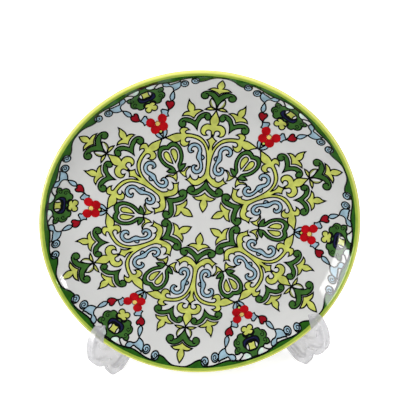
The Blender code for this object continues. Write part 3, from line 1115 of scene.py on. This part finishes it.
def paint_ornament():
    """Draw every motif and the rim band, then lay each colour on the plate as its own piece."""
    paint = Paint()
    for draw in MOTIFS:
        draw(paint)
    make_rim_band(paint, glazed_paint("rim_green", COLOURS["rim"], UNEVEN_RIM))
    for colour, level in LEVELS.items():
        name = f"paint_{colour}"
        if colour == "white":
            material = white_glaze(name, COLOURS[colour])
        else:
            material = glazed_paint(name, COLOURS[colour], UNEVEN_LINE if colour == "line" else UNEVEN_PAINT)
        make_paint_piece(name, paint.patches[colour], level, material)


def finish_nodes(names, material):
    """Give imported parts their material."""
    for name in names:
        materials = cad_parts[name].data.materials
        materials.clear()
        materials.append(material)


def make_floor():
    """Plain pale floor that the glaze doesn't mirror."""
    builder = bmesh.new()
    bmesh.ops.create_grid(builder, x_segments=2, y_segments=2, size=FLOOR_HALF_SIDE)
    floor = built_object("floor", builder, studio_floor("studio_floor"))
    floor.visible_glossy = False


def add_area_light(name, place, target, size, power, mirrored):
    """A panel of light: a mirrored one is seen only as a reflection, the others only light the object."""
    data = bpy.data.lights.new(name, "AREA")
    data.shape = "RECTANGLE"
    data.size, data.size_y = size
    data.energy = power
    light = add_object(name, data)
    light.location = place
    light.rotation_euler = (Vector(target) - Vector(place)).to_track_quat("-Z", "Y").to_euler()
    light.visible_glossy = mirrored
    light.visible_diffuse = not mirrored


def choose_shader(tree, question, answer_no, answer_yes):
    """One shader or the other, by what kind of ray is asking."""
    node = tree.nodes.new("ShaderNodeMixShader")
    for place, source in enumerate((question, answer_no, answer_yes)):
        tree.links.new(source, node.inputs[place])
    return node.outputs["Shader"]


def make_world():
    """White behind everything, a soft even light, and a dim room seen only in reflections."""
    world = bpy.data.worlds.new("studio")
    world.use_nodes = True
    tree = world.node_tree
    backdrop = tree.nodes["Background"]
    soft_light = tree.nodes.new("ShaderNodeBackground")
    room = tree.nodes.new("ShaderNodeBackground")
    for node, strength in ((backdrop, BACKDROP), (soft_light, SOFT_LIGHT), (room, ROOM_REFLECTION)):
        set_inputs(node, {"Color": (*WHITE, 1.0), "Strength": strength})
    ray = tree.nodes.new("ShaderNodeLightPath")
    unseen = choose_shader(tree, ray.outputs["Is Glossy Ray"], soft_light.outputs[0], room.outputs[0])
    surface = choose_shader(tree, ray.outputs["Is Camera Ray"], unseen, backdrop.outputs[0])
    tree.links.new(surface, tree.nodes["World Output"].inputs["Surface"])
    bpy.context.scene.world = world


def light_studio():
    """Two soft panels light the object, and two windows show in the glaze."""
    bpy.context.scene.view_settings.view_transform = "Standard"
    make_world()
    middle = tuple(PLATE_PLACE)
    add_area_light("key_softbox", (-0.7, -1.2, 1.5), middle, size=(0.9, 0.9), power=10.5, mirrored=False)
    add_area_light("left_window", (-1.15, -0.25, 0.30), middle, size=(0.80, 0.55), power=12.0, mirrored=True)
    add_area_light("right_window", (1.17, -0.25, 0.21), middle, size=(0.10, 0.12), power=0.9, mirrored=True)
    add_area_light("overhead", (0.0, 0.1, 1.8), (0.0, 0.0, 0.0), size=(1.6, 1.6), power=31.0, mirrored=False)


def place_camera():
    """Aim the camera at the plate's middle, from in front and above."""
    data = bpy.data.cameras.new("camera")
    data.lens = CAMERA_LENS
    data.sensor_width = CAMERA_SENSOR
    data.shift_x, data.shift_y = CAMERA_SHIFT
    data.clip_start = CAMERA_NEAREST
    camera = add_object("camera", data)
    # The world's axes as the camera sees them, with x to its right, y downward and z ahead of it.
    downward = Vector((math.sin(CAMERA_ROLL), math.cos(CAMERA_ROLL), 0.0))
    ahead = Vector((0.0, 0.0, 1.0))
    world_z = -math.cos(CAMERA_ELEVATION) * downward - math.sin(CAMERA_ELEVATION) * ahead
    world_y = math.cos(CAMERA_ELEVATION) * ahead - math.sin(CAMERA_ELEVATION) * downward
    world_x = world_y.cross(world_z)
    seen = Matrix((world_x, world_y, world_z))
    # Its columns are the camera's axes in the world; Blender's camera has y upward and z behind it.
    turn = Matrix((seen.col[0], -seen.col[1], -seen.col[2])).transposed()
    place = PLATE_PLACE - seen.col[2] * CAMERA_DISTANCE
    camera.matrix_world = Matrix.Translation(place) @ turn.to_4x4()
    bpy.context.scene.camera = camera


def main():
    """Build every piece and the studio."""
    make_plate_body(white_glaze("white_glaze", COLOURS["white"]))
    make_lip_band(lip_paint("lip_green", COLOURS["lip"], COLOURS["lip_highlight"]))
    make_bare_foot(biscuit("biscuit"))
    paint_ornament()
    finish_nodes(("stand_frame_left", "stand_frame_right"), clear_plastic("clear_plastic"))
    finish_nodes(("hinge_pin_upper", "hinge_pin_lower"), drawn_steel("pin_steel"))
    make_floor()
    light_studio()
    place_camera()


main()
